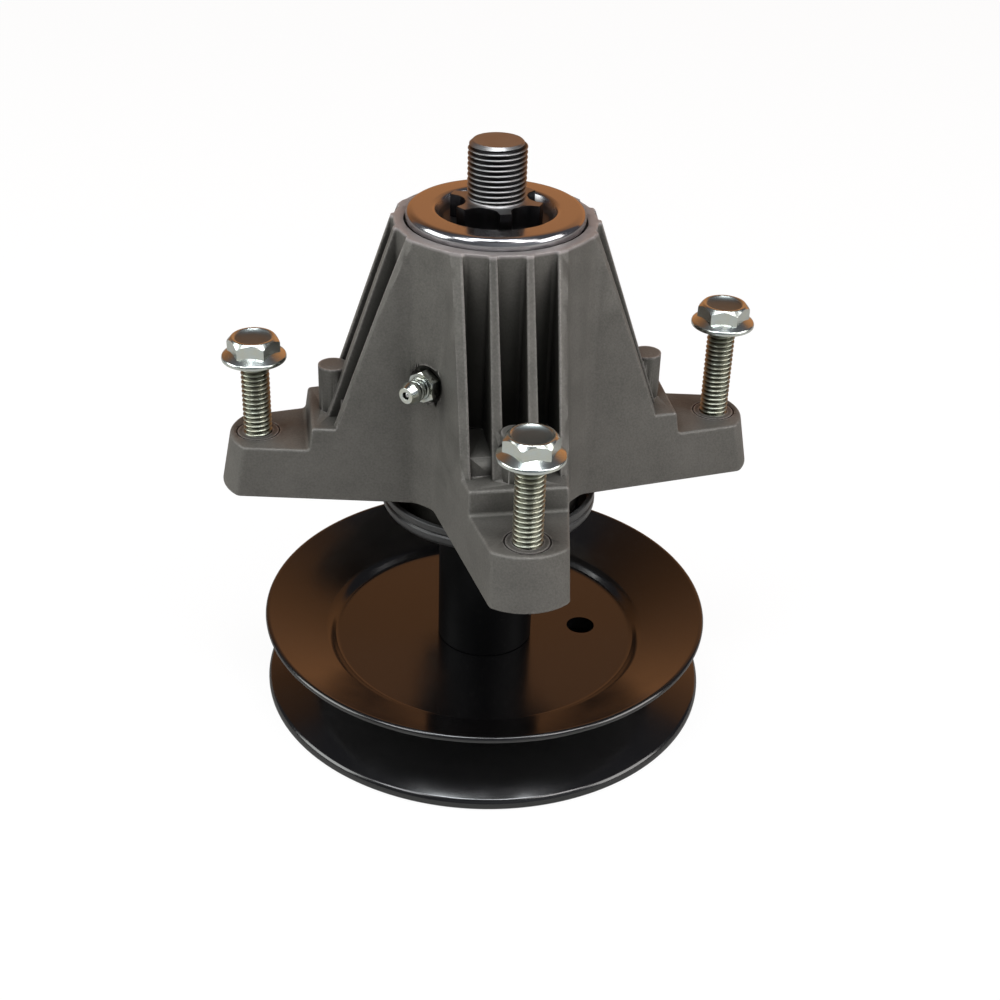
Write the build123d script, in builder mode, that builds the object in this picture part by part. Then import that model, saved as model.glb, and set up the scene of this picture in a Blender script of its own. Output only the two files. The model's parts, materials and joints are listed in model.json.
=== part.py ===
from build123d import *
from math import cos, hypot, radians, sin, sqrt, tan
import os

# Mower deck spindle, standing on the rim of its pulley with the blade stud up.
# Z is the spindle axis, and z = 0 is the lowest edge of the pulley.
# The four legs of the housing lie along X and Y. Sizes are in millimetres.

# Pulley, two pressed steel halves back to back
pulley_r = 67.0
pulley_disc_r = 45.5
pulley_sheet = 2.0
flange_angle = 28.0
flange_bend_r = 3.0
pulley_bore_r = 8.0
web_hole_r = 4.3
web_hole_circle_r = 30.2
web_hole_angle = -2.3

# Spindle shaft
journal_r = 9.98
stud_r = 7.9375
stud_length = 15.3
stud_collar_h = 0.6
stud_chamfer = 1.3
tail_chamfer = 1.0
tail_inset = 0.2
tail_shoulder_gap = 1.0
star_points = 6
star_tip_r = 12.7
star_root_r = 8.6
star_tip_width = 3.4
star_height = 6.3
star_turn = 33.0

# Hub tube, pulley nut and washer
hub_r = 14.3
hub_length = 47.6
nut_across_flats = 23.8
nut_height = 9.3
hex_chamfer_angle = 30.0
washer_r = 15.0
washer_t = 1.2
washer_bore_r = 8.3

# Ball bearings, 20 x 47 x 14, with eight balls. The shares are of the depth from bore to outside
bearing_bore_r = 10.0
bearing_outer_r = 23.5
bearing_width = 14.0
ball_count = 8
ball_share = 0.294
land_share = 0.256
cage_share = 0.12
ball_play = 0.15
ring_edge = 0.6
seal_t = 1.0
seal_inset = 0.4
seal_groove_depth = 0.6
seal_lip_gap = 0.2
cage_bridge = 0.8
bearing_spacer_length = 53.8
bearing_spacer_r = 12.5

# Dust shield on the pulley side
shield_r = 31.3
shield_sheet = 1.5
shield_rise = 1.5
shield_seat_r = 12.9
shield_height = 6.2
shield_bead_depth = 0.6
shield_bead_z = 3.6
shield_bend_r = 1.6

# Dust cap on the blade side
cap_overlap = 0.8
cap_sheet = 1.2
cap_floor_r = 14.2
cap_mouth_r = 16.75
cap_height = 5.2
cap_skirt = 3.4
cap_bend_r = 1.5

# Housing, one casting with four legs
leg_count = 4
core_wall = 6.9
core_draft = 1.8
leg_tip_r = 76.8
leg_tip_half_width = 10.4
leg_tip_bulge = 3.9
leg_tip_draft = 10.8
leg_root_half_width = 18.05
leg_draft = 3.1
leg_corner_r = 6.0
leg_tip_corner_r = 2.5
foot_thickness = 15.2
riser_top_r = 51.4
riser_batter = 1.0
riser_height = 6.6
slot_floor_rise = 5.2
slot_floor_back = 4.0
slot_floor_slope = 0.4
tread_depth = 4.4
rim_wall = 4.8
rim_depth = 2.1
rib_offset = 4.75
rib_width = 2.1
rib_draft = 0.5
slot_back_wall = 4.0
slot_corner_r = 1.0
post_r = 4.15
post_back = 2.4
post_height = 13.0
boss_wall = 3.3
boss_drop = 8.0
boss_gap = 1.0
bearing_ledge = 3.0
rim_counterbore_step = 1.4
bolt_hole_r = 4.05
bolt_hole_shift = 1.5
bolt_ring_r = 6.2
bolt_ring_width = 0.5
bolt_ring_depth = 0.5
rib_edge_r = 0.4
rim_edge_r = 0.3
pad_edge_r = 0.8
tread_edge_r = 1.0
riser_fillet_r = 1.2
underside_edge_r = 0.6
edge_reach = 0.1

# Deck bolts, 5/16 inch, screwed in to different depths
bolt_r = 3.97
bolt_length = 31.75
bolt_across_flats = 12.7
bolt_head_height = 6.6
bolt_flange_r = 8.9
bolt_flange_t = 1.1
bolt_flange_cone = 1.6
bolt_dish_r = 4.7
bolt_dish_depth = 0.7
bolt_point = 1.2
# Stand of the under-head face above the pad, for the legs at 0, 90, 180 and 270 degrees
bolt_stands = (27.5, 24.1, 22.5, 24.1)

# Grease fitting, in the corner between two legs
fitting_height = 37.7
fitting_angle = 225.0
fitting_seat_r = 28.4
fitting_spot_r = 5.4
fitting_across_flats = 7.9
fitting_hex_t = 3.6
fitting_stem_r = 3.15
fitting_stem_length = 7.0
fitting_length = 9.8
fitting_barrel_r = 2.7
fitting_neck_r = 2.1
fitting_head_r = 3.2
fitting_tip_r = 2.0
fitting_head_t = 2.9
fitting_neck_t = 1.1
fitting_passage_r = 1.45
fitting_mouth_r = 0.9
fitting_mouth_t = 0.7
check_ball_r = 1.2
check_ball_travel = 0.8
check_spring_r = 1.05
check_spring_wire_r = 0.15
check_spring_pitch = 0.7
check_spring_length = 3.5

# Clearances
press_gap = 0.02
running_gap = 0.06
thread_gap = 0.04
travel_gap = 0.1

# Levels, worked upwards from the rim of the pulley
pulley_slope = radians(flange_angle)
flange_reach = pulley_r - pulley_sheet * sin(pulley_slope) - pulley_disc_r
pulley_mid_z = pulley_sheet + flange_reach * tan(pulley_slope)
disc_top_z = pulley_mid_z + pulley_sheet
disc_bottom_z = pulley_mid_z - pulley_sheet
hub_top_z = disc_top_z + hub_length
shield_floor_z = hub_top_z + shield_sheet
pulley_bearing_z = shield_floor_z + shield_rise
spacer_z = pulley_bearing_z + bearing_width
blade_bearing_z = spacer_z + bearing_spacer_length
cap_floor_z = blade_bearing_z + bearing_width
star_z = cap_floor_z + cap_sheet
star_top_z = star_z + star_height
shaft_top_z = star_top_z + stud_collar_h + stud_length
boss_z = shield_floor_z + boss_gap
housing_z = boss_z + boss_drop
pad_z = housing_z + foot_thickness
tread_z = pad_z + riser_height
slot_floor_z = tread_z + slot_floor_rise
rim_z = cap_floor_z + rim_depth
housing_height = rim_z - housing_z
fitting_z = housing_z + fitting_height

leg_angles = [leg * 360 / leg_count for leg in range(leg_count)]

# Housing radii, worked outwards from the bearings and inwards from the step of the foot
cap_r = bearing_outer_r + cap_overlap
housing_core_r = bearing_outer_r + core_wall
rim_r = bearing_outer_r + rim_wall
slot_back_r = bearing_outer_r + slot_back_wall
riser_foot_r = riser_top_r + riser_batter
web_foot_r = riser_top_r - tread_depth
slot_floor_r = web_foot_r - slot_floor_back
post_circle_r = web_foot_r - post_back
bolt_circle_r = (riser_foot_r + leg_tip_r) / 2 + bolt_hole_shift
leg_side_slope = (leg_root_half_width - leg_tip_half_width) / (leg_tip_r - leg_tip_bulge - housing_core_r)

# Bearing parts, from the bore and the outside
bearing_depth = bearing_outer_r - bearing_bore_r
ball_r = bearing_depth * ball_share
ball_circle_r = (bearing_bore_r + bearing_outer_r) / 2
race_r = ball_r + ball_play
inner_land_r = ball_circle_r - bearing_depth * land_share
outer_land_r = ball_circle_r + bearing_depth * land_share
cage_inner_r = ball_circle_r - bearing_depth * cage_share
cage_outer_r = ball_circle_r + bearing_depth * cage_share

os.makedirs("parts", exist_ok=True)


def finish(builder, node):
    """Name a finished piece and write it."""
    builder.part.label = node
    export_step(builder.part, f"parts/{node}.step")


def hexagon_corner_r(across_flats):
    """Corner radius of a hexagon from its size across flats."""
    return across_flats / 2 / cos(radians(30))


def ring(outer_r, inner_r, level):
    """A flat ring about the spindle axis, at a level."""
    with BuildSketch(Plane.XY.offset(level)) as flat_ring:
        Circle(outer_r)
        Circle(inner_r, mode=Mode.SUBTRACT)
    return flat_ring.sketch


# Pulley halves: a flat disc that turns up into a sloping flange
def pulley_half(side):
    """One pressed half, for side 1 above the middle plane and -1 below it."""
    rim_edge_r = pulley_disc_r + flange_reach
    rim_edge_z = disc_top_z + flange_reach * tan(pulley_slope)
    with BuildPart() as half:
        with BuildSketch(Plane.XZ):
            with BuildLine():
                FilletPolyline(
                    (pulley_bore_r, disc_top_z),
                    (pulley_disc_r, disc_top_z),
                    (rim_edge_r, rim_edge_z),
                    radius=flange_bend_r,
                )
                offset(amount=pulley_sheet, side=Side.RIGHT)
            make_face()
        revolve(axis=Axis.Z)
        with BuildSketch(Plane.XY.offset(pulley_mid_z)):
            with PolarLocations(web_hole_circle_r, 1, start_angle=web_hole_angle):
                Circle(web_hole_r)
        extrude(amount=pulley_sheet, mode=Mode.SUBTRACT)
        if side < 0:
            mirror(about=Plane.XY.offset(pulley_mid_z), mode=Mode.REPLACE)
    return half


finish(pulley_half(1), "pulley_upper_half")
finish(pulley_half(-1), "pulley_lower_half")

with BuildPart() as pulley_hub_tube:
    extrude(ring(hub_r, journal_r + running_gap, disc_top_z), amount=hub_length)
finish(pulley_hub_tube, "pulley_hub_tube")

with BuildPart() as pulley_washer:
    extrude(ring(washer_r, washer_bore_r, disc_bottom_z - washer_t), amount=washer_t)
finish(pulley_washer, "pulley_washer")

# Pulley nut: a plain hexagon with its corners turned back at both faces
nut_bottom_z = disc_bottom_z - washer_t - nut_height
nut_corner_r = hexagon_corner_r(nut_across_flats)
nut_chamfer_h = (nut_corner_r - nut_across_flats / 2) * tan(radians(hex_chamfer_angle))
with BuildPart() as pulley_nut:
    with BuildSketch(Plane.XY.offset(nut_bottom_z)):
        RegularPolygon(nut_across_flats / 2, 6, major_radius=False)
    extrude(amount=nut_height)
    with BuildSketch(Plane.XZ):
        with BuildLine():
            Polyline(
                (0, nut_bottom_z),
                (nut_across_flats / 2, nut_bottom_z),
                (nut_corner_r, nut_bottom_z + nut_chamfer_h),
                (nut_corner_r, nut_bottom_z + nut_height - nut_chamfer_h),
                (nut_across_flats / 2, nut_bottom_z + nut_height),
                (0, nut_bottom_z + nut_height),
                close=True,
            )
        make_face()
    revolve(axis=Axis.Z, mode=Mode.INTERSECT)
    with BuildSketch(Plane.XY.offset(nut_bottom_z)):
        Circle(stud_r + thread_gap)
    extrude(amount=nut_height, mode=Mode.SUBTRACT)
finish(pulley_nut, "pulley_nut")

# Spindle shaft: tail for the nut, journal, six-pointed star and blade stud
tail_end_z = nut_bottom_z + tail_inset
tail_shoulder_z = disc_top_z + tail_shoulder_gap
with BuildPart() as spindle_shaft:
    with BuildSketch(Plane.XZ):
        with BuildLine():
            Polyline(
                (0, tail_end_z),
                (stud_r - tail_chamfer, tail_end_z),
                (stud_r, tail_end_z + tail_chamfer),
                (stud_r, tail_shoulder_z),
                (journal_r - tail_chamfer, tail_shoulder_z),
                (journal_r, tail_shoulder_z + tail_chamfer),
                (journal_r, star_z),
                (star_root_r, star_z),
                (star_root_r, star_top_z),
                (stud_r + stud_collar_h, star_top_z),
                (stud_r, star_top_z + stud_collar_h),
                (stud_r, shaft_top_z - stud_chamfer),
                (stud_r - stud_chamfer, shaft_top_z),
                (0, shaft_top_z),
                close=True,
            )
        make_face()
    revolve(axis=Axis.Z)
    with BuildSketch(Plane.XY.offset(star_z)):
        with BuildLine():
            step = radians(360 / star_points)
            tip_half_turn = star_tip_width / 2 / star_tip_r
            for point in range(star_points):
                middle = point * step + radians(star_turn)
                first, last = middle - tip_half_turn, middle + tip_half_turn
                valley, after = middle + step / 2, middle + step - tip_half_turn
                RadiusArc(
                    (star_tip_r * cos(first), star_tip_r * sin(first)),
                    (star_tip_r * cos(last), star_tip_r * sin(last)),
                    -star_tip_r,
                )
                ThreePointArc(
                    (star_tip_r * cos(last), star_tip_r * sin(last)),
                    (star_root_r * cos(valley), star_root_r * sin(valley)),
                    (star_tip_r * cos(after), star_tip_r * sin(after)),
                )
        make_face()
    extrude(amount=star_height)
finish(spindle_shaft, "spindle_shaft")

# Dust shield: a cup that opens towards the housing, with a bead round its wall
shield_top_z = hub_top_z + shield_height
shield_groove_z = hub_top_z + shield_bead_z
with BuildPart() as pulley_side_dust_shield:
    with BuildSketch(Plane.XZ):
        with BuildLine():
            FilletPolyline(
                (journal_r + running_gap, hub_top_z),
                (shield_r, hub_top_z),
                (shield_r, shield_top_z),
                radius=shield_bend_r + shield_sheet,
            )
            Polyline(
                (shield_r, shield_top_z),
                (shield_r - shield_sheet, shield_top_z),
                (shield_r - shield_sheet, shield_floor_z),
                (shield_seat_r + shield_rise, shield_floor_z),
                (shield_seat_r, pulley_bearing_z),
                (journal_r + running_gap, pulley_bearing_z),
                (journal_r + running_gap, hub_top_z),
            )
        make_face()
        with BuildLine():
            Polyline(
                (shield_r + shield_bead_depth, shield_groove_z - shield_bead_depth),
                (shield_r - shield_bead_depth, shield_groove_z),
                (shield_r + shield_bead_depth, shield_groove_z + shield_bead_depth),
                close=True,
            )
        make_face(mode=Mode.SUBTRACT)
    revolve(axis=Axis.Z)
finish(pulley_side_dust_shield, "pulley_side_dust_shield")

# Dust cap: clamped floor, sloping mouth, flat ring and a turned-down skirt
cap_top_z = cap_floor_z + cap_height
with BuildPart() as blade_side_dust_cap:
    with BuildSketch(Plane.XZ):
        with BuildLine():
            FilletPolyline(
                (journal_r + running_gap, star_z),
                (cap_floor_r, star_z),
                (cap_mouth_r, cap_top_z),
                (cap_r, cap_top_z),
                (cap_r, cap_top_z - cap_skirt),
                radius=(cap_bend_r, cap_bend_r, cap_bend_r + cap_sheet / 2),
            )
            offset(amount=cap_sheet, side=Side.RIGHT)
        make_face()
    revolve(axis=Axis.Z)
finish(blade_side_dust_cap, "blade_side_dust_cap")

# Spacer between the inner rings
with BuildPart() as bearing_spacer_tube:
    extrude(ring(bearing_spacer_r, journal_r + running_gap, spacer_z), amount=bearing_spacer_length)
finish(bearing_spacer_tube, "bearing_spacer_tube")

# Two sealed ball bearings
for side, bearing_z in (("pulley", pulley_bearing_z), ("blade", blade_bearing_z)):
    ball_z = bearing_z + bearing_width / 2
    seal_levels = (bearing_z + seal_inset, bearing_z + bearing_width - seal_inset - seal_t)

    with BuildPart() as outer_ring:
        extrude(ring(bearing_outer_r, outer_land_r, bearing_z), amount=bearing_width)
        outer_edges = outer_ring.edges().filter_by(GeomType.CIRCLE).group_by(SortBy.RADIUS)[-1]
        chamfer(outer_edges, length=ring_edge)
        with BuildSketch(Plane.XZ):
            with Locations((ball_circle_r, ball_z)):
                Circle(race_r)
            with Locations(*[(outer_land_r, level + seal_t / 2) for level in seal_levels]):
                Rectangle(2 * seal_groove_depth, seal_t + 2 * press_gap)
        revolve(axis=Axis.Z, mode=Mode.SUBTRACT)
    finish(outer_ring, f"{side}_bearing_outer_ring")

    with BuildPart() as inner_ring:
        extrude(ring(inner_land_r, bearing_bore_r, bearing_z), amount=bearing_width)
        with BuildSketch(Plane.XZ):
            with Locations((ball_circle_r, ball_z)):
                Circle(race_r)
        revolve(axis=Axis.Z, mode=Mode.SUBTRACT)
    finish(inner_ring, f"{side}_bearing_inner_ring")

    with BuildPart() as seals:
        seal_r = outer_land_r + seal_groove_depth - press_gap
        for level in seal_levels:
            extrude(ring(seal_r, inner_land_r + seal_lip_gap, level), amount=seal_t)
    finish(seals, f"{side}_bearing_seals")

    with BuildPart() as balls:
        with Locations((0, 0, ball_z)):
            with PolarLocations(ball_circle_r, ball_count):
                Sphere(ball_r)
    finish(balls, f"{side}_bearing_balls")

    cage_half_height = race_r + cage_bridge
    with BuildPart() as cage:
        extrude(ring(cage_outer_r, cage_inner_r, ball_z - cage_half_height), amount=2 * cage_half_height)
        with Locations((0, 0, ball_z)):
            with PolarLocations(ball_circle_r, ball_count):
                Cylinder(race_r, 2 * ball_r, rotation=(0, 90, 0), mode=Mode.SUBTRACT)
    finish(cage, f"{side}_bearing_cage")


# Housing, drawn as plan sections of the four legs and the core
def leg_half_width(along, height):
    """Half width of a leg at a distance from the axis and a height above the underside."""
    corner_r = leg_tip_r - leg_tip_bulge
    return leg_tip_half_width + leg_side_slope * (corner_r - along) - tan(radians(leg_draft)) * height


def leg_plan(height):
    """Plan of the legs and core at a height above the underside."""
    tip_back = tan(radians(leg_tip_draft)) * height
    tip_r = leg_tip_r - tip_back
    corner_r = tip_r - leg_tip_bulge
    corner_w, middle_w = leg_half_width(corner_r, height), leg_half_width(0, height)
    core_r = housing_core_r - tan(radians(core_draft)) * height
    with BuildSketch() as one_leg:
        with BuildLine():
            Polyline((corner_r, corner_w), (0, middle_w), (0, -middle_w), (corner_r, -corner_w))
            ThreePointArc((corner_r, -corner_w), (tip_r, 0), (corner_r, corner_w))
        make_face()
        fillet(one_leg.vertices().sort_by(Axis.X)[-2:], radius=leg_tip_corner_r)
    with BuildSketch(Plane.XY.offset(housing_z + height)) as plan:
        Circle(core_r)
        with PolarLocations(0, leg_count):
            add(one_leg.sketch)
        inner_corners = [v for v in plan.vertices() if hypot(v.X, v.Y) < core_r + 1]
        fillet(inner_corners, radius=leg_corner_r)
    return plan


# Side view of the casting: feet with a step, and webs that follow one cone
leg_reach = leg_tip_r + leg_tip_bulge
with BuildPart() as casting_envelope:
    with BuildSketch(Plane.XZ):
        with BuildLine():
            Polyline(
                (0, housing_z),
                (web_foot_r, housing_z),
                (web_foot_r, tread_z),
                (rim_r, rim_z),
                (0, rim_z),
                close=True,
            )
        make_face()
    revolve(axis=Axis.Z)
    for leg_plane in (Plane.XZ, Plane.YZ):
        with BuildSketch(leg_plane):
            with BuildLine():
                Polyline(
                    (0, housing_z),
                    (leg_reach, housing_z),
                    (leg_reach, pad_z),
                    (riser_foot_r, pad_z),
                    (riser_top_r, tread_z),
                    (0, tread_z),
                    close=True,
                )
            make_face()
            mirror(about=Plane.YZ)
        extrude(amount=web_foot_r / 2, both=True)

# The cores that leave three slots in each leg
outer_rib_inside = leg_half_width(rim_r, housing_height) - rib_width
inner_slot_w = 2 * rib_offset - rib_width
outer_slot_w = outer_rib_inside - rib_offset - rib_width / 2
slot_centres = (
    (-(outer_rib_inside - outer_slot_w / 2), outer_slot_w),
    (0, inner_slot_w),
    (outer_rib_inside - outer_slot_w / 2, outer_slot_w),
)
slot_height = rim_z - tread_z
slot_start_r = sqrt(slot_back_r**2 - outer_rib_inside**2) - slot_height * tan(radians(rib_draft))
slot_span = leg_reach - slot_start_r
with BuildPart() as slot_cores:
    with BuildSketch(Plane.XY.offset(rim_z)) as slot_tops:
        with PolarLocations(slot_start_r + slot_span / 2, leg_count):
            for centre, width in slot_centres:
                with Locations((0, centre)):
                    Rectangle(slot_span, width)
    extrude(amount=-slot_height, taper=rib_draft)
    with BuildSketch(Plane.XY.offset(tread_z)):
        Circle(slot_back_r)
    extrude(amount=slot_height, mode=Mode.SUBTRACT)
    for leg_plane in (Plane.XZ, Plane.YZ):
        with BuildSketch(leg_plane):
            with BuildLine():
                Polyline(
                    (0, tread_z),
                    (slot_floor_r + slot_floor_slope, tread_z),
                    (slot_floor_r, slot_floor_z),
                    (0, slot_floor_z),
                    close=True,
                )
            make_face()
            mirror(about=Plane.YZ)
        extrude(amount=rib_offset + outer_rib_inside, both=True, mode=Mode.SUBTRACT)


def outlines_at(builder, level, nearest_r, farthest_r):
    """Edges that lie flat at a level, with their middles between two distances from the axis."""
    return builder.edges().filter_by(
        lambda edge: abs((edge @ 0).Z - level) < edge_reach
        and abs((edge @ 0.5).Z - level) < edge_reach
        and nearest_r < hypot((edge @ 0.5).X, (edge @ 0.5).Y) < farthest_r
    )


fitting_plane = Plane(
    origin=(0, 0, fitting_z),
    x_dir=(-sin(radians(fitting_angle)), cos(radians(fitting_angle)), 0),
    z_dir=(cos(radians(fitting_angle)), sin(radians(fitting_angle)), 0),
)
with BuildPart() as spindle_housing:
    foot_section = leg_plan(0)
    rim_section = leg_plan(housing_height)
    loft([foot_section.sketch, rim_section.sketch], ruled=True)
    add(casting_envelope.part, mode=Mode.INTERSECT)
    add(slot_cores.part, mode=Mode.SUBTRACT)
    # Rounded feet, then rounded ribs, which run from the treads to the rim
    tread_front = outlines_at(spindle_housing, tread_z, riser_top_r - edge_reach, riser_top_r + edge_reach)
    fillet(tread_front, radius=tread_edge_r)
    riser_foot = outlines_at(spindle_housing, pad_z, riser_foot_r - edge_reach, riser_foot_r + edge_reach)
    fillet(riser_foot, radius=riser_fillet_r)
    pad_outline = outlines_at(spindle_housing, pad_z, riser_foot_r + edge_reach, leg_reach)
    fillet(pad_outline, radius=pad_edge_r)
    rib_edges = spindle_housing.edges().filter_by(
        lambda edge: edge.bounding_box().size.Z > slot_height - edge_reach
        and max(hypot((edge @ end).X, (edge @ end).Y) for end in (0, 1)) > slot_floor_r
    )
    fillet(rib_edges, radius=rib_edge_r)
    slot_back_edges = spindle_housing.edges().filter_by(
        lambda edge: edge.bounding_box().size.Z > slot_height - slot_floor_rise - edge_reach
        and abs(hypot((edge @ 0.5).X, (edge @ 0.5).Y) - slot_back_r) < edge_reach
    )
    fillet(slot_back_edges, radius=slot_corner_r)
    underside_outline = outlines_at(spindle_housing, housing_z, housing_core_r, leg_reach)
    fillet(underside_outline, radius=underside_edge_r)
    # Posts on the treads
    with BuildSketch(Plane.XY.offset(tread_z)):
        with PolarLocations(post_circle_r, leg_count):
            Circle(post_r)
    extrude(amount=post_height)
    # Boss that reaches down into the dust shield
    with BuildSketch(Plane.XY.offset(boss_z)):
        Circle(bearing_outer_r + boss_wall)
    extrude(amount=boss_drop)
    # Bearing seats, grease chamber and rim counterbore
    with BuildSketch(Plane.XZ):
        with BuildLine():
            Polyline(
                (0, boss_z),
                (bearing_outer_r + press_gap, boss_z),
                (bearing_outer_r + press_gap, spacer_z),
                (bearing_outer_r - bearing_ledge, spacer_z),
                (bearing_outer_r - bearing_ledge, blade_bearing_z),
                (bearing_outer_r + press_gap, blade_bearing_z),
                (bearing_outer_r + press_gap, cap_floor_z),
                (bearing_outer_r + rim_counterbore_step, cap_floor_z),
                (bearing_outer_r + rim_counterbore_step, rim_z),
                (0, rim_z),
                close=True,
            )
        make_face()
    revolve(axis=Axis.Z, mode=Mode.SUBTRACT)
    rim_outline = outlines_at(spindle_housing, rim_z, bearing_outer_r + 2 * rim_counterbore_step, leg_reach)
    fillet(rim_outline, radius=rim_edge_r)
    # Bolt holes, each inside a shallow ring cast in the pad
    with BuildSketch(Plane.XY.offset(housing_z)):
        with PolarLocations(bolt_circle_r, leg_count):
            Circle(bolt_hole_r)
    extrude(amount=foot_thickness, mode=Mode.SUBTRACT)
    with BuildSketch(Plane.XY.offset(pad_z)):
        with PolarLocations(bolt_circle_r, leg_count):
            Circle(bolt_ring_r)
            Circle(bolt_ring_r - bolt_ring_width, mode=Mode.SUBTRACT)
    extrude(amount=-bolt_ring_depth, mode=Mode.SUBTRACT)
    # Spot face and hole for the grease fitting
    with BuildSketch(fitting_plane.offset(fitting_seat_r)):
        Circle(fitting_spot_r)
    extrude(amount=leg_corner_r, mode=Mode.SUBTRACT)
    with BuildSketch(fitting_plane):
        Circle(fitting_stem_r + thread_gap)
    extrude(amount=fitting_seat_r, mode=Mode.SUBTRACT)
finish(spindle_housing, "spindle_housing")

# One deck bolt, standing on the middle of its under-head face
with BuildPart() as deck_bolt:
    bolt_corner_r = hexagon_corner_r(bolt_across_flats)
    bolt_hex_chamfer = (bolt_corner_r - bolt_across_flats / 2) * tan(radians(hex_chamfer_angle))
    with BuildSketch(Plane.XY):
        RegularPolygon(bolt_across_flats / 2, 6, major_radius=False)
    extrude(amount=bolt_head_height)
    with BuildSketch(Plane.XZ):
        with BuildLine():
            Polyline(
                (0, 0),
                (bolt_corner_r, 0),
                (bolt_corner_r, bolt_head_height - bolt_hex_chamfer),
                (bolt_across_flats / 2 - bolt_hex_chamfer, bolt_head_height),
                (0, bolt_head_height),
                close=True,
            )
        make_face()
    revolve(axis=Axis.Z, mode=Mode.INTERSECT)
    with BuildSketch(Plane.XZ):
        with BuildLine():
            Polyline(
                (0, -bolt_length),
                (bolt_r - bolt_point, -bolt_length),
                (bolt_r, bolt_point - bolt_length),
                (bolt_r, 0),
                (bolt_flange_r, 0),
                (bolt_flange_r, bolt_flange_t),
                (bolt_across_flats / 2, bolt_flange_t + bolt_flange_cone),
                (0, bolt_flange_t + bolt_flange_cone),
                close=True,
            )
        make_face()
    revolve(axis=Axis.Z)
    with BuildSketch(Plane.XY.offset(bolt_head_height)):
        Circle(bolt_dish_r)
    extrude(amount=-bolt_dish_depth, taper=45, mode=Mode.SUBTRACT)

with BuildPart() as mounting_bolts:
    for leg_angle, stand in zip(leg_angles, bolt_stands):
        turn = radians(leg_angle)
        place = (bolt_circle_r * cos(turn), bolt_circle_r * sin(turn), pad_z + stand)
        add(deck_bolt.part.moved(Location(place)))
finish(mounting_bolts, "mounting_bolts")

# Grease fitting: stem, hexagon, barrel, neck and the head that the gun grips
fitting_end_r = fitting_seat_r + fitting_length
fitting_head_z = fitting_end_r - fitting_head_t
ball_stop_z = fitting_end_r - fitting_mouth_t
ball_rest_z = ball_stop_z - sqrt((check_ball_r + running_gap) ** 2 - fitting_mouth_r**2)
fitting_axis = Axis(fitting_plane.origin, fitting_plane.z_dir)
fitting_section = Plane(origin=fitting_plane.origin, x_dir=fitting_plane.z_dir, z_dir=fitting_plane.x_dir)
with BuildPart() as grease_fitting:
    with BuildSketch(fitting_section):
        with BuildLine():
            Polyline(
                (fitting_seat_r - fitting_stem_length, 0),
                (fitting_seat_r - fitting_stem_length, fitting_stem_r),
                (fitting_seat_r, fitting_stem_r),
                (fitting_seat_r + fitting_hex_t, fitting_stem_r),
                (fitting_seat_r + fitting_hex_t, fitting_barrel_r),
                (fitting_head_z - fitting_neck_t, fitting_barrel_r),
                (fitting_head_z - fitting_neck_t / 2, fitting_neck_r),
                (fitting_head_z, fitting_head_r),
                (fitting_head_z + fitting_head_t / 3, fitting_head_r),
                (fitting_end_r, fitting_tip_r),
                (fitting_end_r, 0),
                close=True,
            )
        make_face()
    revolve(axis=fitting_axis)
    with BuildSketch(fitting_plane.offset(fitting_seat_r)):
        RegularPolygon(fitting_across_flats / 2, 6, major_radius=False, rotation=30)
    extrude(amount=fitting_hex_t)
    with BuildSketch(fitting_plane):
        Circle(fitting_passage_r)
    extrude(amount=ball_stop_z, mode=Mode.SUBTRACT)
    with BuildSketch(fitting_plane):
        Circle(fitting_mouth_r)
    extrude(amount=fitting_end_r, mode=Mode.SUBTRACT)
finish(grease_fitting, "grease_fitting")

with BuildPart() as grease_check_ball:
    with Locations(fitting_plane.offset(ball_rest_z)):
        Sphere(check_ball_r)
finish(grease_check_ball, "grease_check_ball")

# Check spring: a coil behind the ball, shorter than its room by the travel of the ball
spring_end_z = ball_rest_z - check_ball_r - check_ball_travel - travel_gap
spring_base = fitting_plane.offset(spring_end_z - check_spring_length)
with BuildPart() as grease_check_spring:
    with BuildLine():
        coil = Helix(
            check_spring_pitch,
            check_spring_length,
            check_spring_r,
            center=spring_base.origin,
            direction=spring_base.z_dir,
        )
    with BuildSketch(Plane(origin=coil @ 0, z_dir=coil % 0)):
        Circle(check_spring_wire_r)
    sweep(path=coil, is_frenet=True)
finish(grease_check_spring, "grease_check_spring")
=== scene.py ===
import bmesh
import bpy
import json
from math import ceil, cos, hypot, pi, radians, sin, sqrt, tan
from mathutils import Matrix, Vector

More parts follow.
